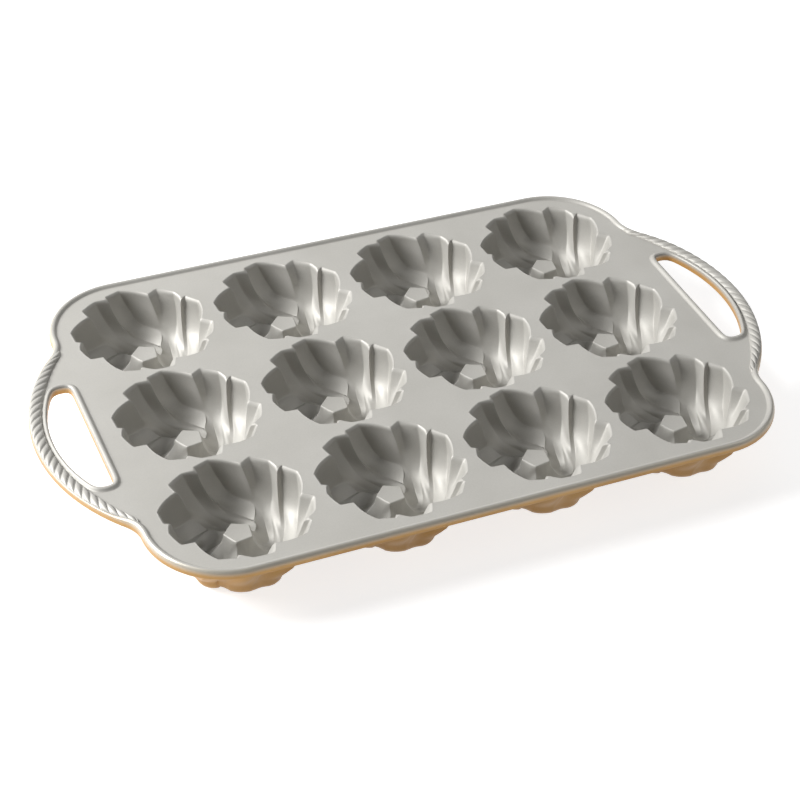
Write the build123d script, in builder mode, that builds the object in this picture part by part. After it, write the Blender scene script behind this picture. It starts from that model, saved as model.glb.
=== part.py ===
from build123d import *

import math
import os

os.makedirs("parts", exist_ok=True)

# A cast baking pan with twelve swirled cups and a loop handle at each short end.
# Millimetres. The origin is under the middle of the pan, at the height that its cups rest on.
# +X runs along the length to the right, +Y away from the viewer, +Z up.

# How close two coordinates are when they count as the same
MATCH = 0.01

# Layout of the cups, and the radius of the circle round a cup's mouth
COLUMNS = 4
ROWS = 3
COLUMN_PITCH = 82.0
ROW_PITCH = 79.6
CUP_GAP = 2.2
CUP_RADIUS = (min(COLUMN_PITCH, ROW_PITCH) - CUP_GAP) / 2

# Heights
CAVITY_DEPTH = 30.5
CUP_FLOOR = 3.0
DECK_THICKNESS = 3.5
DECK_TOP = CAVITY_DEPTH + CUP_FLOOR
DECK_UNDER = DECK_TOP - DECK_THICKNESS

# Deck and its raised edge: a margin round the cups, and corners that follow the corner cups
END_MARGIN = 9.4
SIDE_MARGIN = 7.7
CORNER_MARGIN = 4.8
BODY_LENGTH = COLUMNS * COLUMN_PITCH + 2 * END_MARGIN
BODY_WIDTH = ROWS * ROW_PITCH + 2 * SIDE_MARGIN
BODY_CORNER = CUP_RADIUS + CORNER_MARGIN
RIM_WIDTH = 4.5
RIM_RAISE = 1.6
RIM_DROP = 0.7
RIM_ROUNDING = 1.5

# Handles: a round outer edge that runs into the sides of the body, and a D-shaped finger opening.
# The round edge meets the side at HANDLE_MEETING_Y, a clearance short of the body's corner.
HANDLE_DEPTH = 30.8
HANDLE_CLEARANCE = 7.0
HANDLE_BLEND = 18.0
HANDLE_REACH = BODY_LENGTH / 2 + HANDLE_DEPTH
HANDLE_MEETING_Y = BODY_WIDTH / 2 - BODY_CORNER - HANDLE_CLEARANCE
HANDLE_RADIUS = (HANDLE_MEETING_Y**2 + HANDLE_DEPTH**2) / (2 * HANDLE_DEPTH)
HANDLE_SHOULDER = 4.6
HANDLE_HALF_SPAN = HANDLE_MEETING_Y - HANDLE_SHOULDER
GRIP_SETBACK = 0.8
GRIP_BAND = 9.4
GRIP_END_BAND = 29.0
GRIP_INNER_X = BODY_LENGTH / 2 + GRIP_SETBACK
GRIP_OUTER_X = HANDLE_REACH - GRIP_BAND
GRIP_RADIUS = HANDLE_RADIUS - 2.2 * GRIP_BAND
GRIP_HALF_LENGTH = HANDLE_HALF_SPAN - GRIP_END_BAND
GRIP_CORNER = 6.0
BEAD_INNER_WIDTH = 3.7
BEAD_OUTER_WIDTH = 2.4
BEAD_HEIGHT = 1.6
BEAD_ROUNDING = 0.7

# Rope in relief on the outer edge of each handle
ROPE_WIDTH = 6.4
ROPE_INSET = 0.6
ROPE_HEIGHT = 2.4
ROPE_HALF_ANGLE = 36.0
ROPE_ROUNDING = 1.6

# Swirl of a cup: five equal sectors, and six lines down the wall in each of them
SECTORS = 5
SECTOR_ANGLE = 360.0 / SECTORS
WAIST_DEPTH = 16.4
FOOT_DEPTH = 26.0
WALL = 1.7
CREST_WALL = 2.8
FLOOR_SHRINK = 0.80
FOOT_SHRINK = 0.76

# Post in the middle of a cup: five flat sides, hollow from below
POST_TOP_DEPTH = 17.1
POST_TOP_RADIUS = 0.199 * CUP_RADIUS
POST_TOP_ANGLE = 27.8
POST_FOOT_RADIUS = 0.375 * CUP_RADIUS
POST_TWIST = 14.0
POST_WALL = 2.6


class SwirlLine:
    """A line down the cup wall: its share of the cup's radius and its angle at rim, waist and foot."""

    def __init__(self, rim, waist, foot, wall):
        self.stations = (
            (0.0, *rim),
            (WAIST_DEPTH, *waist),
            (FOOT_DEPTH, *foot),
        )
        self.wall = wall

    def at(self, depth):
        """Radius and angle at a depth, straight between the stations."""
        upper = self.stations[:2] if depth <= WAIST_DEPTH else self.stations[1:]
        (d0, r0, a0), (d1, r1, a1) = upper
        share = (depth - d0) / (d1 - d0)
        return CUP_RADIUS * (r0 + share * (r1 - r0)), a0 + share * (a1 - a0)


CREST = SwirlLine((0.824, 68.0), (0.760, 58.5), (0.698, 51.0), CREST_WALL)
VALLEY = SwirlLine((0.974, 62.0), (0.780, 51.6), (0.687, 43.0), WALL)
LEDGE = SwirlLine((0.966, 46.7), (0.842, 39.5), (0.682, 31.0), WALL)
FOLD = SwirlLine((0.886, 35.6), (0.748, 26.5), (0.634, 11.0), CREST_WALL)
FOLD_FOOT = SwirlLine((0.960, 35.2), (0.816, 26.3), (0.689, 10.5), WALL)
SCALLOP = SwirlLine((1.000, 22.1), (0.907, 11.2), (0.703, -4.0), WALL)
SWIRL = (CREST, VALLEY, LEDGE, FOLD, FOLD_FOOT, SCALLOP)

# A ridge over the cup's floor, from its wall to a corner of the post: the crest's share of the
# cup's radius, its angle and its height over the floor, and the share that is half the width
FLOOR_RIDGE = (
    (0.740, 55.5, 9.5, 0.13),
    (0.517, 48.5, 3.8, 0.12),
    (0.354, 35.0, 4.1, 0.10),
    (0.220, 30.0, 9.3, 0.08),
)


def polar(radius, angle):
    return (radius * math.cos(math.radians(angle)), radius * math.sin(math.radians(angle)))


def swirl_points(depth, with_wall=False, shrink=1.0):
    """Corners of the cup's section at a depth under the deck's top, inside or outside its wall."""
    points = []
    for sector in range(SECTORS):
        for line in SWIRL:
            radius, angle = line.at(min(depth, FOOT_DEPTH))
            radius = radius * shrink + (line.wall if with_wall else 0.0)
            points.append(polar(radius, angle - sector * SECTOR_ANGLE))
    return points


def post_points(radius, twist):
    return [polar(radius, POST_TOP_ANGLE + twist - side * SECTOR_ANGLE) for side in range(SECTORS)]


def section(points, depth):
    """A closed polygon at a depth under the deck's top."""
    with BuildSketch(Plane.XY.offset(DECK_TOP - depth)) as face:
        with BuildLine():
            Polyline(*points, close=True)
        make_face()
    return face.sketch


def cavity(bottom):
    """The swirled space of a cup, from the deck's top down to a depth."""
    levels = [section(swirl_points(0.0), 0.0)]
    if bottom <= WAIST_DEPTH:
        levels.append(section(swirl_points(bottom), bottom))
    else:
        levels.append(section(swirl_points(WAIST_DEPTH), WAIST_DEPTH))
        levels.append(section(swirl_points(FOOT_DEPTH), FOOT_DEPTH))
        levels.append(section(swirl_points(FOOT_DEPTH, shrink=FLOOR_SHRINK), bottom))
    with BuildPart() as space:
        loft(levels, ruled=True)
    return space.part


def post(top_depth, bottom_depth, wall):
    """The five sided post, turned a little from its foot to its top."""
    top = section(post_points(POST_TOP_RADIUS - wall, 0.0), top_depth)
    foot = section(post_points(POST_FOOT_RADIUS - wall, POST_TWIST), bottom_depth)
    with BuildPart() as pillar:
        loft([top, foot], ruled=True)
    return pillar.part


def floor_ridge():
    """One sharp ridge, drawn as triangles across its run with their bases under the floor."""
    crests = [polar(CUP_RADIUS * share, angle) for share, angle, _, _ in FLOOR_RIDGE]
    triangles = []
    for number, (x, y) in enumerate(crests):
        before = crests[max(number - 1, 0)]
        after = crests[min(number + 1, len(crests) - 1)]
        run = Vector(after[0] - before[0], after[1] - before[1]).normalized()
        _, _, height, half_width = FLOOR_RIDGE[number]
        side = Vector(-run.Y, run.X) * CUP_RADIUS * half_width
        crest = Vector(x, y, CUP_FLOOR + height)
        base = Vector(x, y, CUP_FLOOR / 2)
        triangles.append(Face(Wire.make_polygon([crest, base + side, base - side])))
    with BuildPart() as ridge:
        loft(triangles, ruled=True)
    return ridge.part


def cup_shell():
    """One cup under the deck, with its cavity cut out and its post put back, hollow below."""
    with BuildPart() as space:
        add(cavity(CAVITY_DEPTH))
        with PolarLocations(0, SECTORS):
            add(floor_ridge(), mode=Mode.SUBTRACT)
    levels = [
        section(swirl_points(DECK_THICKNESS, with_wall=True), DECK_THICKNESS),
        section(swirl_points(WAIST_DEPTH, with_wall=True), WAIST_DEPTH),
        section(swirl_points(FOOT_DEPTH, with_wall=True), FOOT_DEPTH),
        section(swirl_points(FOOT_DEPTH, shrink=FOOT_SHRINK), DECK_TOP),
    ]
    with BuildPart() as shell:
        loft(levels, ruled=True)
        add(space.part, mode=Mode.SUBTRACT)
        add(post(POST_TOP_DEPTH, CAVITY_DEPTH + CUP_FLOOR / 2, 0.0))
        add(post(POST_TOP_DEPTH + CUP_FLOOR, DECK_TOP, POST_WALL), mode=Mode.SUBTRACT)
    return shell.part


def outline():
    """The pan seen from above: a rounded rectangle with a round handle at each end."""
    handle_centre = HANDLE_REACH - HANDLE_RADIUS
    with BuildSketch() as plan:
        RectangleRounded(BODY_LENGTH, BODY_WIDTH, BODY_CORNER)
        with BuildSketch(mode=Mode.PRIVATE) as loops:
            with Locations((handle_centre, 0), (-handle_centre, 0)):
                Circle(HANDLE_RADIUS)
            Rectangle(BODY_LENGTH - 2 * RIM_WIDTH, 2 * HANDLE_RADIUS, mode=Mode.SUBTRACT)
        add(loops.sketch)
        corners = [v for v in plan.sketch.vertices() if abs(abs(v.Y) - HANDLE_MEETING_Y) < MATCH]
        fillet(corners, HANDLE_BLEND)
    return plan.sketch


def d_shape(inner_x, outer_x, radius, half_length, corner):
    """A D lying on its straight side, for the right handle."""
    with BuildSketch() as shape:
        with Locations((outer_x - radius, 0)):
            Circle(radius)
        with Locations((inner_x, 0)):
            Rectangle(radius, 2 * half_length, align=(Align.MIN, Align.CENTER), mode=Mode.INTERSECT)
        fillet(shape.sketch.vertices(), corner)
    return shape.sketch


PLAN = outline()
with BuildSketch() as panel_plan:
    add(PLAN)
    offset(amount=-RIM_WIDTH, mode=Mode.REPLACE)
PANEL = panel_plan.sketch
HANDLE_ROOT_X = BODY_LENGTH / 2 - RIM_WIDTH

GRIP = d_shape(GRIP_INNER_X, GRIP_OUTER_X, GRIP_RADIUS, GRIP_HALF_LENGTH, GRIP_CORNER)
GRIP_EDGE = d_shape(
    GRIP_INNER_X - BEAD_INNER_WIDTH,
    GRIP_OUTER_X + BEAD_OUTER_WIDTH,
    GRIP_RADIUS + BEAD_OUTER_WIDTH,
    GRIP_HALF_LENGTH + BEAD_INNER_WIDTH,
    GRIP_CORNER + BEAD_INNER_WIDTH,
)
CUP_CENTRES = GridLocations(COLUMN_PITCH, ROW_PITCH, COLUMNS, ROWS)


def save(part, name):
    part.label = name
    export_step(part, f"parts/{name}.step")


# Deck: the flat plate between the handles, with the cups' openings cut through it
with BuildPart() as deck:
    with BuildSketch(Plane.XY.offset(DECK_UNDER)):
        add(PANEL)
        with BuildSketch(mode=Mode.PRIVATE) as roots:
            Rectangle(2 * HANDLE_REACH, 2 * HANDLE_HALF_SPAN)
            Rectangle(2 * HANDLE_ROOT_X, 2 * HANDLE_HALF_SPAN, mode=Mode.SUBTRACT)
        add(roots.sketch, mode=Mode.SUBTRACT)
    extrude(amount=DECK_THICKNESS)
    with CUP_CENTRES:
        add(cavity(DECK_THICKNESS), mode=Mode.SUBTRACT)
save(deck.part, "deck")

# Rims: the raised rounded edge, in front of and behind the handles
for name, side in (("front_rim", -1), ("back_rim", 1)):
    with BuildPart() as rim:
        with BuildSketch(Plane.XY.offset(DECK_UNDER - RIM_DROP)):
            add(PLAN)
            add(PANEL, mode=Mode.SUBTRACT)
            with Locations((0, side * (HANDLE_HALF_SPAN + BODY_WIDTH / 2))):
                Rectangle(2 * HANDLE_REACH, BODY_WIDTH, mode=Mode.INTERSECT)
        extrude(amount=DECK_THICKNESS + RIM_RAISE + RIM_DROP)
        long_edges = [e for e in rim.faces().sort_by(Axis.Z)[-1].edges() if e.length > 2 * RIM_WIDTH]
        low_edges = [e for e in rim.faces().sort_by(Axis.Z)[0].edges() if e.length > 2 * RIM_WIDTH]
        fillet(long_edges + low_edges, RIM_ROUNDING)
    save(rim.part, name)

# Handles, ropes and beads: drawn on the right and mirrored to the left
with BuildPart() as right_handle:
    with BuildSketch(Plane.XY.offset(DECK_UNDER)):
        add(PLAN)
        with Locations((HANDLE_ROOT_X, 0)):
            Rectangle(
                HANDLE_REACH, 2 * HANDLE_HALF_SPAN, align=(Align.MIN, Align.CENTER), mode=Mode.INTERSECT
            )
        add(GRIP, mode=Mode.SUBTRACT)
    extrude(amount=DECK_THICKNESS)

with BuildPart() as right_bead:
    with BuildSketch(Plane.XY.offset(DECK_TOP)):
        add(GRIP_EDGE)
        add(GRIP, mode=Mode.SUBTRACT)
    extrude(amount=BEAD_HEIGHT)
    fillet(right_bead.faces().sort_by(Axis.Z)[-1].edges(), BEAD_ROUNDING)

with BuildPart() as right_rope:
    rope_radius = HANDLE_RADIUS - ROPE_INSET - ROPE_WIDTH / 2
    rope_centre = (HANDLE_REACH - HANDLE_RADIUS, 0)
    with BuildSketch(Plane.XY.offset(DECK_TOP)):
        with BuildLine(mode=Mode.PRIVATE) as path:
            CenterArc(rope_centre, rope_radius, -ROPE_HALF_ANGLE, 2 * ROPE_HALF_ANGLE)
        SlotArc(path.line.edge(), ROPE_WIDTH)
    extrude(amount=ROPE_HEIGHT)
    fillet(right_rope.faces().sort_by(Axis.Z)[-1].edges(), ROPE_ROUNDING)

for piece, kind in ((right_handle, "handle"), (right_bead, "bead"), (right_rope, "rope")):
    save(piece.part, f"right_{kind}")
    with BuildPart() as mirrored:
        mirror(piece.part, about=Plane.YZ, mode=Mode.ADD)
    save(mirrored.part, f"left_{kind}")

# Cups: rows from back to front, columns from left to right
shell = cup_shell()
for row in range(ROWS):
    for column in range(COLUMNS):
        centre_x = (column - (COLUMNS - 1) / 2) * COLUMN_PITCH
        centre_y = ((ROWS - 1) / 2 - row) * ROW_PITCH
        with BuildPart() as cup:
            with Locations((centre_x, centre_y, 0)):
                add(shell)
        save(cup.part, f"cup_{row + 1}_{column + 1}")
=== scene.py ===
import math

import bmesh
import bpy
import numpy as np
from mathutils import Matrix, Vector
from mathutils.geometry import tessellate_polygon


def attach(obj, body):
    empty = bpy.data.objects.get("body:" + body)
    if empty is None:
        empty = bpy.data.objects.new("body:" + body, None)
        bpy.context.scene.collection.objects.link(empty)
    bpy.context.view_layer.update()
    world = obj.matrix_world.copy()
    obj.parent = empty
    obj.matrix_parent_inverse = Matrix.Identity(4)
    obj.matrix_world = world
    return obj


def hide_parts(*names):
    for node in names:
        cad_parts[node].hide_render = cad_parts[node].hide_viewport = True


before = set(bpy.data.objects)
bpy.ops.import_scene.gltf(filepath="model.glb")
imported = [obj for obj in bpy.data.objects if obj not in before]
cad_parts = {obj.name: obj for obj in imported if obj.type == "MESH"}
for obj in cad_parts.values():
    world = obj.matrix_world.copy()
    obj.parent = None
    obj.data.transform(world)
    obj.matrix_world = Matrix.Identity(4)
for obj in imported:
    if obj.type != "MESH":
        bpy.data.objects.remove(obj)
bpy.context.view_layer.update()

# A cast baking pan with twelve swirled cups, silver grey above and gold below.
# Shapes are worked out in millimetres and written to the meshes in metres.
# +X runs along the length to the right, +Y away from the viewer, +Z up.
MM = 0.001
PITCH = 82.0
ROW_PITCH = 79.6
COLUMNS = 4
ROWS = 3
DECK_TOP = 33.5
DECK_THICKNESS = 3.5
DECK_LOW = DECK_TOP - DECK_THICKNESS

SILVER, GOLD = 0, 1

# Camera, fitted to the grid of cups: place in metres, turn in degrees
LENS = 90.68
SENSOR_WIDTH = 36.0
CAMERA_PLACE = (-0.35216, -0.79669, 0.68551)
CAMERA_TURN = (52.0904, -1.4180, -22.5805)

camera_data = bpy.data.cameras.new("camera")
camera_data.lens = LENS
camera_data.sensor_width = SENSOR_WIDTH
camera = bpy.data.objects.new("camera", camera_data)
camera.location = CAMERA_PLACE
camera.rotation_euler = [math.radians(a) for a in CAMERA_TURN]
bpy.context.scene.collection.objects.link(camera)
bpy.context.scene.camera = camera
bpy.context.scene.view_settings.view_transform = "Standard"


# Materials

NOISE_LOW, NOISE_MIDDLE, NOISE_HIGH = 0.3, 0.5, 0.7
MIX_SHARE, MIX_A, MIX_B, MIX_RESULT = 0, 6, 7, 2
CLOUD_SCALE = 22.0
WEAR_SCALE = 60.0
FLECK_SCALE = 0.45
FLECK_SHADE = 0.95
FINE_ROUGHNESS = 0.6
GRAIN_STRENGTH = 0.35
GRAIN_DEPTH = 0.00006


def link(tree, a, out, b, into):
    tree.links.new(a.outputs[out], b.inputs[into])


def noise(tree, place, scale, detail, rough=0.5):
    node = tree.nodes.new("ShaderNodeTexNoise")
    node.inputs["Scale"].default_value = scale
    node.inputs["Detail"].default_value = detail
    node.inputs["Roughness"].default_value = rough
    link(tree, place, 0, node, "Vector")
    return node


def ramp(tree, source, stops):
    node = tree.nodes.new("ShaderNodeValToRGB")
    ends = node.color_ramp.elements
    ends[0].position, ends[1].position = stops[0][0], stops[-1][0]
    ends[0].color, ends[1].color = (*stops[0][1], 1), (*stops[-1][1], 1)
    for place, colour in stops[1:-1]:
        ends.new(place).color = (*colour, 1)
    link(tree, source, "Fac", node, "Fac")
    return node


def spread(tree, source, low, high):
    """A noise's middle range turned into a value between low and high."""
    node = tree.nodes.new("ShaderNodeMapRange")
    node.inputs["From Min"].default_value = NOISE_LOW
    node.inputs["From Max"].default_value = NOISE_HIGH
    node.inputs["To Min"].default_value = low
    node.inputs["To Max"].default_value = high
    link(tree, source, "Fac", node, "Value")
    return node


def sprayed(tree, where, under, low, high, colour):
    """Another coating that takes over between two heights of the piece, in millimetres."""
    axes = tree.nodes.new("ShaderNodeSeparateXYZ")
    link(tree, where, "Object", axes, 0)
    rise = tree.nodes.new("ShaderNodeMapRange")
    rise.interpolation_type = "SMOOTHSTEP"
    rise.inputs["From Min"].default_value = low * MM
    rise.inputs["From Max"].default_value = high * MM
    link(tree, axes, "Z", rise, "Value")
    cover = tree.nodes.new("ShaderNodeMix")
    cover.data_type = "RGBA"
    link(tree, rise, "Result", cover, MIX_SHARE)
    link(tree, under, MIX_RESULT, cover, MIX_A)
    cover.inputs[MIX_B].default_value = (*colour, 1)
    return cover


def metal_finish(name, colours, metallic, rough, grain_scale, overspray=None):
    """A satin coating on cast metal: soft patches of tone, uneven gloss and a fine grain."""
    material = bpy.data.materials.new(name)
    material.use_nodes = True
    tree = material.node_tree
    shader = tree.nodes["Principled BSDF"]
    where = tree.nodes.new("ShaderNodeTexCoord")
    seat = tree.nodes.new("ShaderNodeObjectInfo")
    place = tree.nodes.new("ShaderNodeVectorMath")
    place.operation = "ADD"
    link(tree, where, "Object", place, 0)
    link(tree, seat, "Location", place, 1)

    clouds = noise(tree, place, CLOUD_SCALE, 3.0)
    tones = zip((NOISE_LOW, NOISE_MIDDLE, NOISE_HIGH), colours)
    tone = ramp(tree, clouds, list(tones))
    speckle = noise(tree, place, grain_scale * FLECK_SCALE, 2.0, FINE_ROUGHNESS)
    shades = ((NOISE_LOW, (FLECK_SHADE,) * 3), (NOISE_HIGH, (1.0, 1.0, 1.0)))
    fleck = ramp(tree, speckle, shades)
    painted = tree.nodes.new("ShaderNodeMix")
    painted.data_type = "RGBA"
    painted.blend_type = "MULTIPLY"
    painted.inputs[MIX_SHARE].default_value = 1.0
    link(tree, tone, "Color", painted, MIX_A)
    link(tree, fleck, "Color", painted, MIX_B)
    if overspray:
        painted = sprayed(tree, where, painted, *overspray)
    link(tree, painted, MIX_RESULT, shader, "Base Color")

    wear = noise(tree, place, WEAR_SCALE, 4.0)
    gloss = spread(tree, wear, *rough)
    link(tree, gloss, "Result", shader, "Roughness")

    grain = noise(tree, place, grain_scale, 3.0, FINE_ROUGHNESS)
    bump = tree.nodes.new("ShaderNodeBump")
    bump.inputs["Strength"].default_value = GRAIN_STRENGTH
    bump.inputs["Distance"].default_value = GRAIN_DEPTH
    link(tree, grain, "Fac", bump, "Height")
    link(tree, bump, "Normal", shader, "Normal")

    shader.inputs["Metallic"].default_value = metallic
    return material


silver = metal_finish(
    "silver_coating",
    ((0.44, 0.428, 0.396), (0.46, 0.448, 0.416), (0.48, 0.468, 0.436)),
    metallic=0.3,
    rough=(0.52, 0.62),
    grain_scale=2600.0,
)
gold = metal_finish(
    "gold_coating",
    ((0.50, 0.27, 0.075), (0.55, 0.31, 0.095), (0.60, 0.35, 0.12)),
    metallic=0.4,
    rough=(0.34, 0.44),
    grain_scale=2200.0,
    overspray=(31.2, 34.6, (0.54, 0.51, 0.44)),
)


# Mesh helpers

LEAST_AREA = 1e-9
LEAST_EDGE = 1e-7
MERGE = 0.002


class Builder:
    """Collects points in millimetres and faces with a material, and makes one mesh."""

    def __init__(self):
        self.points = []
        self.faces = []
        self.kinds = []
        self.smooth = []

    def ring(self, points):
        start = len(self.points)
        self.points.extend(tuple(map(float, p)) for p in points)
        return list(range(start, len(self.points)))

    def face(self, corners, kind, smooth=True):
        self.faces.append(tuple(corners))
        self.kinds.append(kind)
        self.smooth.append(smooth)

    def band(self, a, b, kind, closed=True, smooth=True, flip=False):
        """Quads between two rings of the same length."""
        count = len(a)
        for i in range(count if closed else count - 1):
            j = (i + 1) % count
            quad = (a[i], a[j], b[j], b[i])
            self.face(quad[::-1] if flip else quad, kind, smooth)

    def fan(self, ring, centre, kind, flip=False):
        """Triangles from a closed ring to one point in its middle."""
        middle = self.ring([centre])[0]
        for a, b in zip(ring, ring[1:] + ring[:1]):
            self.face((a, middle, b) if flip else (a, b, middle), kind)

    def fill(self, loops, kind, up=True):
        """A flat face with holes, from rings that were already added."""
        shapes = [[Vector(self.points[i][:2] + (0.0,)) for i in loop] for loop in loops]
        flat = [i for loop in loops for i in loop]
        for a, b, c in tessellate_polygon(shapes):
            pa, pb, pc = (self.points[flat[n]] for n in (a, b, c))
            area = (pb[0] - pa[0]) * (pc[1] - pa[1]) - (pb[1] - pa[1]) * (pc[0] - pa[0])
            if abs(area) < LEAST_AREA:
                continue
            order = (a, b, c) if (area > 0) == up else (a, c, b)
            self.face([flat[n] for n in order], kind, smooth=False)

    def caps(self, rings):
        """Flat ends for an open sweep."""
        self.face([r[0] for r in rings], GOLD, smooth=False)
        self.face([r[-1] for r in rings][::-1], GOLD, smooth=False)

    def mesh(self, name, merge=MERGE):
        """The mesh, with near points merged and a sharp edge round every flat face."""
        data = bpy.data.meshes.new(name)
        data.from_pydata([[c * MM for c in p] for p in self.points], [], self.faces)
        data.materials.append(silver)
        data.materials.append(gold)
        data.polygons.foreach_set("material_index", self.kinds)
        data.polygons.foreach_set("use_smooth", self.smooth)
        work = bmesh.new()
        work.from_mesh(data)
        bmesh.ops.remove_doubles(work, verts=work.verts, dist=merge * MM)
        bmesh.ops.dissolve_degenerate(work, edges=work.edges, dist=LEAST_EDGE)
        for face in work.faces:
            if not face.smooth:
                for edge in face.edges:
                    edge.smooth = False
        work.to_mesh(data)
        work.free()
        data.update()
        return data


def place_piece(name, data, replaced, location=(0.0, 0.0, 0.0)):
    piece = bpy.data.objects.new(name, data)
    piece.location = [c * MM for c in location]
    bpy.context.scene.collection.objects.link(piece)
    bpy.context.view_layer.update()
    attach(piece, "root")
    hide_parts(replaced)


def eased(share):
    """0 to 1 with a soft start and a soft end."""
    share = min(max(share, 0.0), 1.0)
    return share * share * (3 - 2 * share)


def polar(radius, degrees):
    angle = math.radians(degrees)
    return np.array((radius * math.cos(angle), radius * math.sin(angle)))


def round_ring(radius, angles):
    return np.stack([radius * np.cos(angles), radius * np.sin(angles)], axis=1)


def with_height(ring, height):
    return [(x, y, height) for x, y in ring[:, :2]]


# Outline of the pan

BODY_HALF_LENGTH = 173.4
BODY_HALF_WIDTH = 127.1
BODY_CORNER = 43.5
HANDLE_REACH = 204.2
HANDLE_RADIUS = 110.65
HANDLE_BLEND = 18.0
EDGE_WIDTH = 4.6
ROOT_X = 168.9
HANDLE_POINTS, BLEND_POINTS, CORNER_POINTS, SIDE_POINTS = 41, 13, 31, 12
CUT = HANDLE_POINTS - 1


def arc(centre, radius, start, end, count, outward=1.0):
    """Points on an arc with the direction that leads out of the pan at each."""
    result = []
    for angle in np.radians(np.linspace(start, end, count)):
        way = np.array((math.cos(angle), math.sin(angle)))
        result.append((np.array(centre) + radius * way, outward * way))
    return result


def quarter_outline():
    """From the middle of the right handle round to the middle of the back edge."""
    handle_centre = HANDLE_REACH - HANDLE_RADIUS
    blend_x = BODY_HALF_LENGTH + HANDLE_BLEND
    blend_y = math.sqrt((HANDLE_RADIUS + HANDLE_BLEND) ** 2 - (blend_x - handle_centre) ** 2)
    meeting = math.degrees(math.atan2(blend_y, blend_x - handle_centre))
    blend = (blend_x, blend_y)
    corner = (BODY_HALF_LENGTH - BODY_CORNER, BODY_HALF_WIDTH - BODY_CORNER)
    points = arc((handle_centre, 0), HANDLE_RADIUS, 0, meeting, HANDLE_POINTS)
    points += arc(blend, HANDLE_BLEND, 180 + meeting, 180, BLEND_POINTS, outward=-1.0)[1:]
    points += arc(corner, BODY_CORNER, 0, 90, CORNER_POINTS)[1:]
    points += [
        (np.array((x, BODY_HALF_WIDTH)), np.array((0.0, 1.0)))
        for x in np.linspace(corner[0], 0, SIDE_POINTS)[1:]
    ]
    return points


def mirrored(points, x_sign, y_sign):
    sign = np.array((x_sign, y_sign))
    return [(p * sign, n * sign) for p, n in points]


# The handles end and the rims begin at the point numbered CUT of each quarter
RIGHT_BACK = quarter_outline()
LEFT_BACK = mirrored(RIGHT_BACK, -1, 1)
RIGHT_FRONT = mirrored(RIGHT_BACK, 1, -1)
LEFT_FRONT = mirrored(RIGHT_BACK, -1, -1)
BACK_PATH = RIGHT_BACK[CUT:] + LEFT_BACK[CUT:-1][::-1]
FRONT_PATH = LEFT_FRONT[CUT:] + RIGHT_FRONT[CUT:-1][::-1]
RIGHT_PATH = RIGHT_FRONT[: CUT + 1][::-1] + RIGHT_BACK[1 : CUT + 1]
LEFT_PATH = LEFT_BACK[: CUT + 1][::-1] + LEFT_FRONT[1 : CUT + 1]

# Section of the edge: distance in from the outside, height over the deck, material
EDGE_SECTION = (
    (EDGE_WIDTH, 0.0, SILVER),
    (4.3, 0.04, SILVER),
    (3.95, 0.30, SILVER),
    (3.6, 0.72, SILVER),
    (3.2, 1.12, SILVER),
    (2.7, 1.42, SILVER),
    (2.15, 1.55, SILVER),
    (1.6, 1.45, SILVER),
    (1.05, 1.05, GOLD),
    (0.6, 0.45, GOLD),
    (0.25, -0.30, GOLD),
    (0.06, -1.05, GOLD),
    (0.0, -1.6, GOLD),
    (0.0, -2.9, GOLD),
    (0.22, -3.5, GOLD),
    (0.75, -3.95, GOLD),
    (1.5, -4.1, GOLD),
    (3.6, -4.1, GOLD),
    (EDGE_WIDTH, -DECK_THICKNESS, GOLD),
)
FADE_START = 78.0
FADE_LENGTH = 16.0
FADE_SHARE = 0.9


def edge_sweep(builder, path):
    """The edge along a path, its raised part sinking into the handle's plain shoulder."""
    rings = []
    for inset, height, _ in EDGE_SECTION:
        ring = []
        for point, outward in path:
            fade = eased((FADE_START - abs(point[1])) / FADE_LENGTH)
            lift = height * (1 - FADE_SHARE * fade) if height > 0 else height
            x, y = point - outward * inset
            ring.append((x, y, DECK_TOP + lift))
        rings.append(builder.ring(ring))
    for (_, _, kind), a, b in zip(EDGE_SECTION[1:], rings, rings[1:]):
        builder.band(a, b, kind, closed=False, flip=True)
    return rings


def make_rim(name, path, node):
    builder = Builder()
    rings = edge_sweep(builder, path)
    builder.band(rings[-1], rings[0], GOLD, closed=False, smooth=False, flip=True)
    builder.caps(rings)
    place_piece(name, builder.mesh(name), node)


make_rim("back_edge", BACK_PATH, "back_rim")
make_rim("front_edge", FRONT_PATH, "front_rim")


# Inside of a cup: lines from its mouth down its wall, over its floor and up the post.
# Each is a list of (radius, angle, depth), with radius and depth in cup pitches.
RIDGE = (
    (0.389, 68.3, 0.0), (0.371, 62.7, 0.10), (0.358, 58.2, 0.20), (0.337, 54.6, 0.274),
    (0.244, 48.5, 0.326), (0.167, 35.0, 0.322), (0.105, 30.0, 0.258), (0.0943, 27.8, 0.2085),
)
GUTTER = (
    (0.461, 62.2, 0.0), (0.413, 57.0, 0.105), (0.367, 51.8, 0.20), (0.320, 44.5, 0.295),
    (0.262, 30.0, 0.370), (0.205, 10.0, 0.380), (0.125, 2.0, 0.335), (0.0794, 8.0, 0.2085),
)
LEDGE = (
    (0.4565, 46.7, 0.0), (0.436, 43.0, 0.11), (0.395, 39.0, 0.207), (0.320, 33.0, 0.29),
    (0.250, 12.0, 0.360), (0.190, -5.0, 0.370), (0.120, -12.0, 0.325), (0.0771, -16.5, 0.2085),
)
FOLD = (
    (0.418, 35.8, 0.0), (0.386, 32.6, 0.109), (0.347, 25.8, 0.225), (0.298, 11.5, 0.317),
    (0.244, -23.5, 0.326), (0.167, -37.0, 0.322), (0.105, -42.0, 0.258), (0.0943, -44.2, 0.2085),
)
FOLD_FOOT = (
    (0.454, 35.0, 0.0), (0.420, 31.8, 0.109), (0.378, 25.0, 0.225), (0.323, 9.5, 0.312),
    (0.250, -22.0, 0.330), *FOLD[5:],
)
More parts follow.
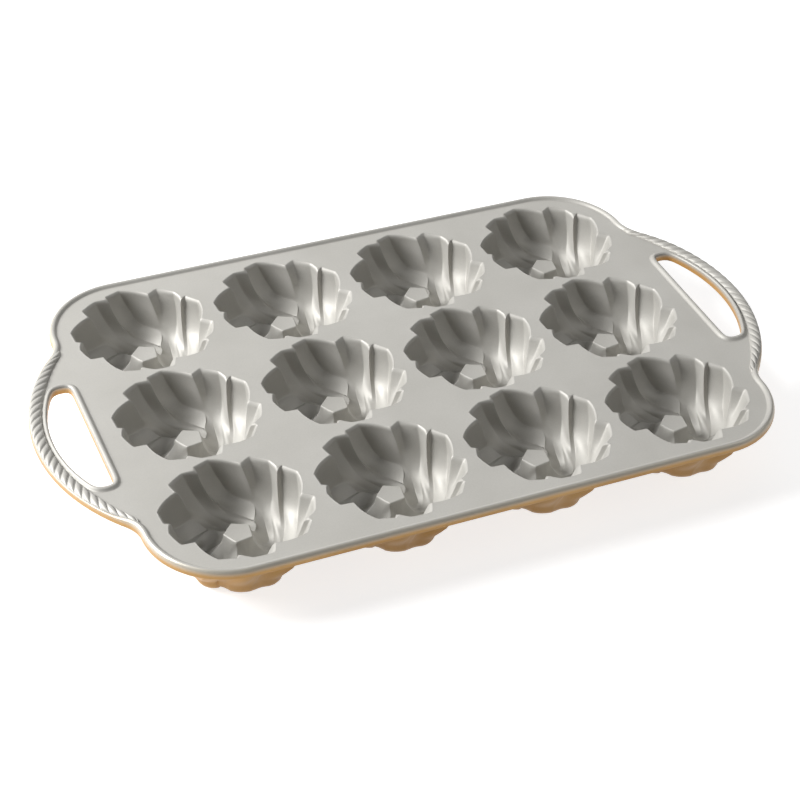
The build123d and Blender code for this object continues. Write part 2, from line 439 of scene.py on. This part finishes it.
SCALLOP = (
    (0.472, 22.1, 0.0), (0.455, 16.2, 0.13), (0.400, 6.3, 0.242), (0.337, -17.4, 0.274),
    *FOLD[4:],
)
SECTORS = 5
SECTOR_TURN = 360.0 / SECTORS

# For each strip between two lines: how many points lie inside it, and how far it bows outward
STRIPS = ((3, 0.0), (4, 0.004), (4, 0.003), (1, 0.0), (4, 0.0), (6, 0.018))
BOW_END = 3.0
CORNER_STEPS = (0.25, 0.6, 1.1)
CORNER_LIMITS = (0.08, 0.18, 0.30)
CORNER_ROUNDING = 0.28
SOFTENED_SAMPLES = 2048
GROWN_SAMPLES = 1440

# Where rings lie along the lines, counted in stations, and the rounded lip at the mouth
WALL_ROWS = (
    0.3, 0.5, 0.75, 1.0, 1.25, 1.5, 1.75, 2.0, 2.25, 2.5, 2.75, 3.0, 3.2, 3.4, 3.6, 3.8,
)
FLOOR_ROWS = (
    4.0, 4.2, 4.4, 4.6, 4.8, 5.0, 5.2, 5.4, 5.6, 5.8, 6.0, 6.25, 6.5, 6.75, 6.93,
)
POST_ROW = 7.0
POST_TOP = RIDGE[-1][2] * PITCH
POST_TOP_SCALES = (0.965, 0.93)
LIP = 1.15
LIP_DEPTH = 2.1
LIP_ROW = LIP_DEPTH / (RIDGE[1][2] * PITCH)
LIP_TURNS = (18.0, 36.0, 54.0, 72.0)
COLLAR_WIDTH = 0.12


def stations(line):
    return np.array([(*(polar(r, a) * PITCH), -d * PITCH) for r, a, d in line])


def turned(points, sector):
    angle = math.radians(-SECTOR_TURN * sector)
    c, s = math.cos(angle), math.sin(angle)
    out = np.array(points, dtype=float)
    out[..., 0], out[..., 1] = (
        points[..., 0] * c - points[..., 1] * s,
        points[..., 0] * s + points[..., 1] * c,
    )
    return out


def along(points, t):
    """A smooth curve through the stations of a line, at t counted in stations."""
    last = len(points) - 1
    i = min(int(t), last - 1)
    f = t - i
    p1, p2 = points[i], points[i + 1]
    p0 = points[i - 1] if i > 0 else 2 * p1 - p2
    p3 = points[i + 2] if i + 2 <= last else 2 * p2 - p1
    m1, m2 = (p2 - p0) / 2, (p3 - p1) / 2
    return (
        (2 * f**3 - 3 * f**2 + 1) * p1
        + (f**3 - 2 * f**2 + f) * m1
        + (-2 * f**3 + 3 * f**2) * p2
        + (f**3 - f**2) * m2
    )


SWIRL = [stations(line) for line in (RIDGE, GUTTER, LEDGE, FOLD, FOLD_FOOT, SCALLOP)]


def strip_shares(length, inner):
    """Places across a strip, close together next to its corners."""
    steps = zip(CORNER_STEPS, CORNER_LIMITS)
    near = [min(step / max(length, 1e-6), limit) for step, limit in steps]
    middle = list(np.linspace(near[-1], 1 - near[-1], inner + 2))[1:-1]
    return [0.0, *near, *middle, *[1 - n for n in near[::-1]]]


def sharp_ring(t):
    """One ring of the cup's inside at t, with sharp corners."""
    heads = [along(line, t) for line in SWIRL]
    fade = max(0.0, 1.0 - t / BOW_END)
    ring = []
    for sector in range(SECTORS):
        corners = [turned(h, sector) for h in heads] + [turned(heads[0], sector + 1)]
        for (inner, bow), a, b in zip(STRIPS, corners, corners[1:]):
            for share in strip_shares(np.linalg.norm(b - a), inner):
                point = a + (b - a) * share
                out = point[:2] / np.linalg.norm(point[:2])
                push = bow * fade * 4 * share * (1 - share) * PITCH
                ring.append((*(point[:2] + out * push), point[2]))
    return np.array(ring)


def softened(ring, sigma):
    """The ring with its corners rounded, each point kept at its place along it."""
    closed = np.vstack([ring, ring[:1]])
    steps = np.linalg.norm(np.diff(closed, axis=0), axis=1)
    places = np.concatenate([[0.0], np.cumsum(steps)])
    total = places[-1]
    count = SOFTENED_SAMPLES
    even = np.arange(count) * total / count
    wave = np.fft.rfftfreq(count, total / count) * 2 * math.pi
    keep = np.exp(-0.5 * (wave * sigma) ** 2)
    out = []
    for axis in range(3):
        dense = np.interp(even, places, closed[:, axis])
        smooth = np.fft.irfft(np.fft.rfft(dense) * keep, count)
        round_again = np.append(smooth, smooth[0])
        out.append(np.interp(places[:-1], np.append(even, total), round_again))
    return np.array(out).T


def soft_ring(t):
    return softened(sharp_ring(t), CORNER_ROUNDING)


def grown(ring, width, angles):
    """Radius at each angle of the outline that lies a width outside a ring."""
    r = np.hypot(ring[:, 0], ring[:, 1])
    a = np.arctan2(ring[:, 1], ring[:, 0])
    order = np.argsort(a)
    grid = np.linspace(-math.pi, math.pi, GROWN_SAMPLES, endpoint=False)
    radius = np.interp(grid, a[order], r[order], period=2 * math.pi)
    gap = np.asarray(angles)[:, None] - grid[None, :]
    side = radius[None, :] * np.sin(gap)
    front = radius[None, :] * np.cos(gap)
    near = (np.abs(side) < width) & (front > 0)
    reach = np.where(near, front + np.sqrt(np.maximum(width**2 - side**2, 0.0)), 0.0)
    return reach.max(axis=1)


mouth = soft_ring(0.0)
MOUTH_ANGLES = np.arctan2(mouth[:, 1], mouth[:, 0])
LIP_RING = round_ring(grown(mouth, LIP, MOUTH_ANGLES), MOUTH_ANGLES)
COLLAR = round_ring(grown(mouth, LIP + COLLAR_WIDTH, MOUTH_ANGLES), MOUTH_ANGLES)

# Outside of a cup: each corner of its section as a share of the radius and an angle,
# at the rim, the waist and the foot
CUP_RADIUS = 38.7
OUTSIDE = (
    ((0.824, 68.0), (0.760, 58.5), (0.698, 51.0)),
    ((0.974, 62.0), (0.780, 51.6), (0.687, 43.0)),
    ((0.966, 46.7), (0.842, 39.5), (0.682, 31.0)),
    ((0.886, 35.6), (0.748, 26.5), (0.634, 11.0)),
    ((0.960, 35.2), (0.816, 26.3), (0.689, 10.5)),
    ((1.000, 22.1), (0.907, 11.2), (0.703, -4.0)),
)
WAIST_DEPTH = 16.4
FOOT_DEPTH = 26.0
OUTSIDE_DEPTHS = (DECK_THICKNESS, 6.0, 9.0, 12.0, 15.0, 18.0, 21.0, 23.5, FOOT_DEPTH)
OUTSIDE_STEPS = 12
OUTSIDE_ROUNDING = 1.2
OUTER_WALL = 1.55
TWIST_PER_MM = 0.85

# Rounded lobes that swell out of that section, between valleys given by rim and foot angle
LOBE_VALLEYS = ((68.3, 58.0), (35.6, 15.0))
LOBE_START, LOBE_FULL = 5.0, 18.0
LOBE_SWELL = 3.4
LOBE_SINK = 0.6
LOBE_SMOOTHINGS = 3

# The least wall between the inside and the outside, before and after smoothing
LEAST_WALL = 1.0
LEAST_SMOOTH_WALL = 0.85
REACH_DEPTH = 1.6
REACH_ANGLE = 3.0

# The rounded foot, the flat land on the floor and the hollow inside the post
FOOT_TURNS = (15.0, 30.0, 45.0, 60.0, 75.0, 90.0)
FOOT_SHRINK = 0.76
LAND_SHRINK = 0.03
HOLLOW_FOOT = 11.9
HOLLOW_TOP = 5.1
HOLLOW_TOP_DEPTH = 20.1
HOLLOW_CORNER = 27.8
HOLLOW_ROUNDING = 0.96
HOLLOW_SECTION = (
    (HOLLOW_FOOT + 0.8, DECK_TOP),
    (HOLLOW_FOOT + 0.2, DECK_TOP - 0.3),
    (HOLLOW_FOOT - 0.2, DECK_TOP - 1.0),
    (HOLLOW_TOP + 0.3, HOLLOW_TOP_DEPTH + 0.8),
    (HOLLOW_TOP - 0.3, HOLLOW_TOP_DEPTH + 0.1),
    (HOLLOW_TOP - 0.9, HOLLOW_TOP_DEPTH),
)


def outside_ring(depth):
    """The cup's section at a depth, from straight runs between rim, waist and foot."""
    ring = []
    for sector in range(SECTORS):
        for rim, waist, foot in OUTSIDE:
            if depth <= WAIST_DEPTH:
                (r0, a0), (r1, a1), share = rim, waist, depth / WAIST_DEPTH
            else:
                share = (depth - WAIST_DEPTH) / (FOOT_DEPTH - WAIST_DEPTH)
                (r0, a0), (r1, a1) = waist, foot
            r, a = r0 + share * (r1 - r0), a0 + share * (a1 - a0)
            ring.append((*polar(CUP_RADIUS * r, a - sector * SECTOR_TURN), 0.0))
    dense = []
    for a, b in zip(ring, ring[1:] + ring[:1]):
        for share in np.linspace(0, 1, OUTSIDE_STEPS, endpoint=False):
            dense.append(np.array(a) + share * (np.array(b) - np.array(a)))
    return softened(np.array(dense), OUTSIDE_ROUNDING)


def lobes(angles, depth):
    """0 in the valleys under the ridge and the fold, 1 on the rounded lobes between them."""
    sunk = depth / FOOT_DEPTH
    first, second = (rim + (foot - rim) * sunk for rim, foot in LOBE_VALLEYS)
    place = (np.degrees(angles) - second) % SECTOR_TURN
    width = first - second
    share = np.where(place < width, place / width, (place - width) / (SECTOR_TURN - width))
    return np.sqrt(np.maximum(1.0 - (2.0 * share - 1.0) ** 2, 0.0))


def reach_of(points, angles, depth):
    """The furthest that a cup's inside reaches at each angle, close to a depth."""
    near = points[np.abs(DECK_TOP - points[:, 2] - depth) < REACH_DEPTH]
    radius = np.hypot(near[:, 0], near[:, 1])
    away = np.arctan2(near[:, 1], near[:, 0])[None, :] - np.asarray(angles)[:, None]
    away = np.abs((away + math.pi) % (2 * math.pi) - math.pi)
    return np.where(away < math.radians(REACH_ANGLE), radius[None, :], 0.0).max(axis=1)


def lobed_ring(inside, angles, depth):
    """The cup's outside at a depth, never closer to its inside than the least wall."""
    fade = min(max((depth - LOBE_START) / (LOBE_FULL - LOBE_START), 0.0), 1.0)
    radius = grown(outside_ring(depth), OUTER_WALL, angles)
    radius = radius + fade * (LOBE_SWELL * lobes(angles, depth) - LOBE_SINK)
    inner = reach_of(inside, angles, depth)
    radius = np.maximum(radius, inner + LEAST_WALL)
    for _ in range(LOBE_SMOOTHINGS):
        radius = (np.roll(radius, 1) + 2 * radius + np.roll(radius, -1)) / 4
    return round_ring(np.maximum(radius, inner + LEAST_SMOOTH_WALL), angles)


def five_sided(radius, angles):
    """A pentagon with softly rounded corners, as points at the given angles."""
    half = math.pi / SECTORS
    off = (angles - math.radians(HOLLOW_CORNER)) % (2 * half) - half
    flat = radius * math.cos(half) / np.cos(off)
    return round_ring(np.minimum(flat, radius * HOLLOW_ROUNDING), angles)


def inside_rows():
    """A flat collar level with the deck, the rounded lip, the wall, the floor and the post."""
    rows = [with_height(COLLAR, DECK_TOP), with_height(LIP_RING, DECK_TOP)]
    for turn in map(math.radians, LIP_TURNS):
        lean = 1 - math.sin(turn)
        drop = 1 - math.cos(turn)
        wall = soft_ring(LIP_ROW * drop)[:, :2]
        ring = wall + (LIP_RING - wall) * lean
        rows.append(with_height(ring, DECK_TOP - LIP_DEPTH * drop))
    for t in (LIP_ROW, *WALL_ROWS, *FLOOR_ROWS):
        rows.append([(x, y, DECK_TOP + z) for x, y, z in soft_ring(t)])
    top = soft_ring(POST_ROW)
    for scale in POST_TOP_SCALES:
        rows.append(with_height(top * scale, DECK_TOP - POST_TOP))
    return rows


def outside_rows(inside):
    """Through the deck, down the wall, round the foot, over the land and up in the post."""
    rows = [with_height(COLLAR, DECK_LOW)]
    for depth in OUTSIDE_DEPTHS:
        angles = MOUTH_ANGLES - math.radians(TWIST_PER_MM * depth)
        foot = lobed_ring(inside, angles, depth)
        rows.append(with_height(foot, DECK_TOP - depth))
    for turn in map(math.radians, FOOT_TURNS):
        shrink = 1 - (1 - FOOT_SHRINK) * (1 - math.cos(turn))
        depth = FOOT_DEPTH + (DECK_TOP - FOOT_DEPTH) * math.sin(turn)
        rows.append(with_height(foot * shrink, DECK_TOP - depth))
    rows.append(with_height(foot * (FOOT_SHRINK - LAND_SHRINK), 0.0))
    angles = np.arctan2(foot[:, 1], foot[:, 0])
    for radius, depth in HOLLOW_SECTION:
        rows.append(with_height(five_sided(radius, angles), DECK_TOP - depth))
    return rows


def cup_mesh():
    builder = Builder()
    rings = [builder.ring(row) for row in inside_rows()]
    inside = np.array(builder.points)
    for a, b in zip(rings, rings[1:]):
        builder.band(a, b, SILVER, flip=True)
    builder.fan(rings[-1], (0, 0, DECK_TOP - POST_TOP), SILVER, flip=True)

    outer = [rings[0]] + [builder.ring(row) for row in outside_rows(inside)]
    for a, b in zip(outer, outer[1:]):
        builder.band(a, b, GOLD)
    builder.fan(outer[-1], (0, 0, DECK_TOP - HOLLOW_TOP_DEPTH), GOLD)
    return builder.mesh("swirl_cup")


CUP_MESH = cup_mesh()
CENTRES = [
    (row, column, (column - (COLUMNS - 1) / 2) * PITCH, ((ROWS - 1) / 2 - row) * ROW_PITCH)
    for row in range(ROWS)
    for column in range(COLUMNS)
]
for row, column, x, y in CENTRES:
    node = f"cup_{row + 1}_{column + 1}"
    place_piece(f"swirl_{node}", CUP_MESH, node, (x, y, 0.0))


# Deck


def inner_line(path):
    return [tuple(point - outward * EDGE_WIDTH) for point, outward in path]


def make_deck():
    """A flat plate: the first loop is its outside, the others are the cups' openings."""
    builder = Builder()
    back, front = inner_line(BACK_PATH), inner_line(FRONT_PATH)
    root_y = back[0][1]
    outside = [
        *back,
        (-ROOT_X, root_y),
        (-ROOT_X, -root_y),
        *front,
        (ROOT_X, -root_y),
        (ROOT_X, root_y),
    ]
    openings = [[(x + cx, y + cy) for x, y in COLLAR] for _, _, cx, cy in CENTRES]
    loops = [np.array(outside), *map(np.array, openings)]
    tops = [builder.ring(with_height(loop, DECK_TOP)) for loop in loops]
    lows = [builder.ring(with_height(loop, DECK_LOW)) for loop in loops]
    builder.fill(tops, SILVER)
    builder.fill(lows, GOLD, up=False)
    for top, low in zip(tops, lows):
        builder.band(top, low, GOLD, smooth=False)
    place_piece("deck_plate", builder.mesh("deck_plate"), "deck")


make_deck()


# Handles

GRIP_INNER_X = 174.2
GRIP_OUTER_X = 194.8
GRIP_RADIUS = 90.0
GRIP_HALF_LENGTH = 43.0
GRIP_ROUNDING = 3.1
GRIP_ARC_POINTS, GRIP_END_POINTS, GRIP_SIDE_POINTS = 61, 13, 49


def grip_line():
    """The finger opening of the right handle: a D with its straight side to the left."""
    centre = GRIP_OUTER_X - GRIP_RADIUS
    top = math.degrees(math.asin(GRIP_HALF_LENGTH / GRIP_RADIUS))
    corner_x = centre + GRIP_RADIUS * math.cos(math.radians(top))
    turns = np.linspace(-top, top, GRIP_ARC_POINTS)
    inward = np.linspace(corner_x, GRIP_INNER_X, GRIP_END_POINTS)[1:]
    down = np.linspace(GRIP_HALF_LENGTH, -GRIP_HALF_LENGTH, GRIP_SIDE_POINTS)[1:]
    outward = np.linspace(GRIP_INNER_X, corner_x, GRIP_END_POINTS)[1:-1]
    line = [(*(np.array((centre, 0)) + polar(GRIP_RADIUS, a)), 0.0) for a in turns]
    line += [(x, GRIP_HALF_LENGTH, 0.0) for x in inward]
    line += [(GRIP_INNER_X, y, 0.0) for y in down]
    line += [(x, -GRIP_HALF_LENGTH, 0.0) for x in outward]
    return softened(np.array(line), GRIP_ROUNDING)[:, :2]


def outward_ways(loop):
    """Unit vectors out of a closed anticlockwise loop."""
    ahead = np.roll(loop, -1, axis=0) - np.roll(loop, 1, axis=0)
    ways = np.stack([ahead[:, 1], -ahead[:, 0]], axis=1)
    return ways / np.linalg.norm(ways, axis=1)[:, None]


GRIP = grip_line()
GRIP_WAYS = outward_ways(GRIP)

# Section of the bead round the opening: distance out from the opening, height over the deck
BEAD_SECTION = (
    (0.0, 0.0),
    (0.02, 0.45),
    (0.25, 0.95),
    (0.75, 1.35),
    (1.35, 1.52),
    (1.95, 1.42),
    (2.5, 1.05),
    (2.95, 0.55),
    (3.35, 0.18),
    (3.8, 0.0),
)
BEAD_NARROWING = 0.30


def flipped(points, sign):
    """Mirrors a loop to the left handle and keeps it anticlockwise."""
    if sign > 0:
        return points
    return [(-x, y, *rest) for x, y, *rest in points][::-1]


def make_bead(side, sign):
    """The bead round the finger opening, narrower on the rope's side."""
    builder = Builder()
    rings = []
    for out, height in BEAD_SECTION:
        ring = []
        for (x, y), (nx, ny) in zip(GRIP, GRIP_WAYS):
            width = out * (1 - BEAD_NARROWING * max(0.0, nx) ** 2)
            ring.append((x + nx * width, y + ny * width, DECK_TOP + height))
        rings.append(builder.ring(flipped(ring, sign)))
    for a, b in zip(rings, rings[1:]):
        builder.band(a, b, SILVER, flip=True)
    builder.band(rings[-1], rings[0], SILVER, smooth=False, flip=True)
    name = f"{side}_grip_bead"
    place_piece(name, builder.mesh(name), f"{side}_bead")


def make_handle(side, sign, path):
    """The edge round the outside, and flat plates above and below with the finger opening."""
    builder = Builder()
    rings = edge_sweep(builder, path)
    root_y = abs(builder.points[rings[0][0]][1])
    corners = [(sign * ROOT_X, sign * root_y), (sign * ROOT_X, -sign * root_y)]
    grip = flipped([tuple(p) for p in GRIP], sign)
    holes, seams = [], []
    for edge, height, kind in ((rings[0], DECK_TOP, SILVER), (rings[-1], DECK_LOW, GOLD)):
        root = builder.ring([(x, y, height) for x, y in corners])
        hole = builder.ring([(x, y, height) for x, y in grip])
        builder.fill([edge + root, hole], kind, up=kind == SILVER)
        holes.append(hole)
        seams.append([edge[-1], *root, edge[0]])
    builder.band(*holes, GOLD, flip=True)
    builder.band(*seams, GOLD, closed=False, smooth=False, flip=True)
    builder.caps(rings)
    name = f"{side}_handle_plate"
    place_piece(name, builder.mesh(name), f"{side}_handle")


# Rope in relief: strands that lean inward towards the back, on a band that narrows
# towards its inner side at both ends and rounds off there
ROPE_OUTER_INSET = 0.45
ROPE_WIDTH = 6.5
ROPE_HEIGHT = 2.2
ROPE_END_INSET = 1.7
ROPE_END_WIDTH = 3.5
ROPE_END_HEIGHT = 1.85
ROPE_TIP_SHARE = 0.35
ROPE_GROOVE_SHARE = 0.42
ROPE_PITCH = 6.1
ROPE_LEAN = 0.92
ROPE_HALF_REACH = 84.0
ROPE_NARROWING = 34.0
ROPE_ROUNDING = 5.0
ROPE_MERGE = 0.01
ROPE_PATH_POINTS = 60
STRAND_STEPS = 8
ROPE_ACROSS = 10


def path_lookup(path):
    """A function that gives the point and outward way at a distance from the path's middle."""
    points = np.array([p for p, _ in path])
    ways = np.array([n for _, n in path])
    steps = np.linalg.norm(np.diff(points, axis=0), axis=1)
    length = np.concatenate([[0.0], np.cumsum(steps)])
    length -= np.interp(0.0, points[:, 1], length)

    def at(s):
        point = np.array([np.interp(s, length, points[:, k]) for k in (0, 1)])
        way = np.array([np.interp(s, length, ways[:, k]) for k in (0, 1)])
        return point, way / np.linalg.norm(way)

    return at


ROPE_AT = path_lookup(
    RIGHT_FRONT[:ROPE_PATH_POINTS][::-1] + RIGHT_BACK[1:ROPE_PATH_POINTS]
)


def rope_point(s, v, swell):
    """A point of the right rope: s along it, v from -1 to 1 across it."""
    left = ROPE_HALF_REACH - abs(s)
    full = eased(left / ROPE_NARROWING)
    near = ROPE_END_INSET + (ROPE_OUTER_INSET - ROPE_END_INSET) * full
    width = ROPE_END_WIDTH + (ROPE_WIDTH - ROPE_END_WIDTH) * full
    tall = ROPE_END_HEIGHT + (ROPE_HEIGHT - ROPE_END_HEIGHT) * full
    taper = math.sin(min(1.0, left / ROPE_ROUNDING) * math.pi / 2) ** 0.5
    width *= ROPE_TIP_SHARE + (1 - ROPE_TIP_SHARE) * taper
    dome = math.sqrt(max(0.0, 1 - v * v))
    height = tall * taper * dome * (ROPE_GROOVE_SHARE + (1 - ROPE_GROOVE_SHARE) * swell)
    point, way = ROPE_AT(s)
    x, y = point - way * (near + width * (v + 1) / 2)
    return x, y, DECK_TOP + height


def make_rope(side, sign):
    builder = Builder()
    strands = int(2 * ROPE_HALF_REACH / ROPE_PITCH) + 2
    rows = []
    for step in range(strands * STRAND_STEPS + 1):
        phase = step / STRAND_STEPS
        swell = math.sqrt(max(0.0, 1 - (2 * (phase % 1.0) - 1) ** 2))
        row = []
        for n in range(ROPE_ACROSS + 1):
            v = -math.cos(math.pi * n / ROPE_ACROSS)
            lean = ROPE_LEAN * math.asin(v) / (math.pi / 2)
            s = ROPE_PITCH * (phase + lean - strands / 2)
            s = min(max(s, -ROPE_HALF_REACH), ROPE_HALF_REACH)
            x, y, z = rope_point(s, v, swell)
            row.append((sign * x, y, z))
        rows.append(builder.ring(row))
    for a, b in zip(rows, rows[1:]):
        builder.band(a, b, SILVER, closed=False, flip=sign < 0)
        under = (a[0], b[0], b[-1], a[-1])
        builder.face(under if sign > 0 else under[::-1], SILVER, smooth=False)
    name = f"{side}_rope_relief"
    place_piece(name, builder.mesh(name, ROPE_MERGE), f"{side}_rope")


for side, sign, path in (("right", 1, RIGHT_PATH), ("left", -1, LEFT_PATH)):
    make_handle(side, sign, path)
    make_bead(side, sign)
    make_rope(side, sign)


# Floor, world and lamps. The glow only shows in view and in reflections,
# so that the background is white at a plain level of light.

FLOOR_HALF = 4.0
FLOOR_Z = -1e-4
FLOOR_COLOUR = (0.60, 0.60, 0.60, 1)
FLOOR_GLOW = 0.78
ROOM_COLOUR = (1.0, 1.0, 1.0, 1)
ROOM_LIGHT = 0.02
ROOM_GLOW = 0.45


def seen_or_mirrored(tree):
    """A node that gives 1 to rays from the camera, a gloss or a clear surface."""
    path = tree.nodes.new("ShaderNodeLightPath")
    seen = tree.nodes.new("ShaderNodeMath")
    seen.operation = "MAXIMUM"
    link(tree, path, "Is Camera Ray", seen, 0)
    link(tree, path, "Is Glossy Ray", seen, 1)
    clear = tree.nodes.new("ShaderNodeMath")
    clear.operation = "MAXIMUM"
    link(tree, seen, 0, clear, 0)
    link(tree, path, "Is Transmission Ray", clear, 1)
    return clear


def make_floor():
    corners = ((-1, -1), (1, -1), (1, 1), (-1, 1))
    data = bpy.data.meshes.new("floor")
    data.from_pydata(
        [(x * FLOOR_HALF, y * FLOOR_HALF, FLOOR_Z) for x, y in corners],
        [],
        [(0, 1, 2, 3)],
    )
    material = bpy.data.materials.new("floor_white")
    material.use_nodes = True
    tree = material.node_tree
    tree.nodes.clear()
    output = tree.nodes.new("ShaderNodeOutputMaterial")
    matte = tree.nodes.new("ShaderNodeBsdfDiffuse")
    matte.inputs["Color"].default_value = FLOOR_COLOUR
    glow = tree.nodes.new("ShaderNodeEmission")
    level = tree.nodes.new("ShaderNodeMath")
    level.operation = "MULTIPLY"
    level.inputs[1].default_value = FLOOR_GLOW
    link(tree, seen_or_mirrored(tree), 0, level, 0)
    link(tree, level, 0, glow, "Strength")
    both = tree.nodes.new("ShaderNodeAddShader")
    link(tree, matte, 0, both, 0)
    link(tree, glow, 0, both, 1)
    link(tree, both, 0, output, "Surface")
    data.materials.append(material)
    floor = bpy.data.objects.new("floor", data)
    bpy.context.scene.collection.objects.link(floor)


def make_world():
    world = bpy.data.worlds.new("studio")
    bpy.context.scene.world = world
    world.use_nodes = True
    tree = world.node_tree
    backdrop = tree.nodes["Background"]
    backdrop.inputs["Color"].default_value = ROOM_COLOUR
    level = tree.nodes.new("ShaderNodeMapRange")
    level.inputs["To Min"].default_value = ROOM_LIGHT
    level.inputs["To Max"].default_value = ROOM_GLOW
    link(tree, seen_or_mirrored(tree), 0, level, "Value")
    link(tree, level, "Result", backdrop, "Strength")


def lamp(name, azimuth, elevation, distance, width, height, power):
    """A soft box that looks at the pan: azimuth 0 is to the right, 90 at the back.

    Angles are in degrees, distance and sizes in metres, power in watts.
    """
    data = bpy.data.lights.new(name, "AREA")
    data.shape = "RECTANGLE"
    data.size, data.size_y = width, height
    data.energy = power
    item = bpy.data.objects.new(name, data)
    a, e = math.radians(azimuth), math.radians(elevation)
    way = Vector((math.cos(a) * math.cos(e), math.sin(a) * math.cos(e), math.sin(e)))
    item.location = way * distance
    item.rotation_euler = (-way).to_track_quat("-Z", "Y").to_euler()
    bpy.context.scene.collection.objects.link(item)


make_floor()
make_world()
lamp("key", 158.0, 35.0, 1.6, 0.8, 0.8, 43.0)
lamp("sheen", 66.0, 38.0, 1.6, 1.6, 1.2, 7.0)
lamp("fill", -28.0, 36.0, 1.6, 1.0, 1.0, 3.0)
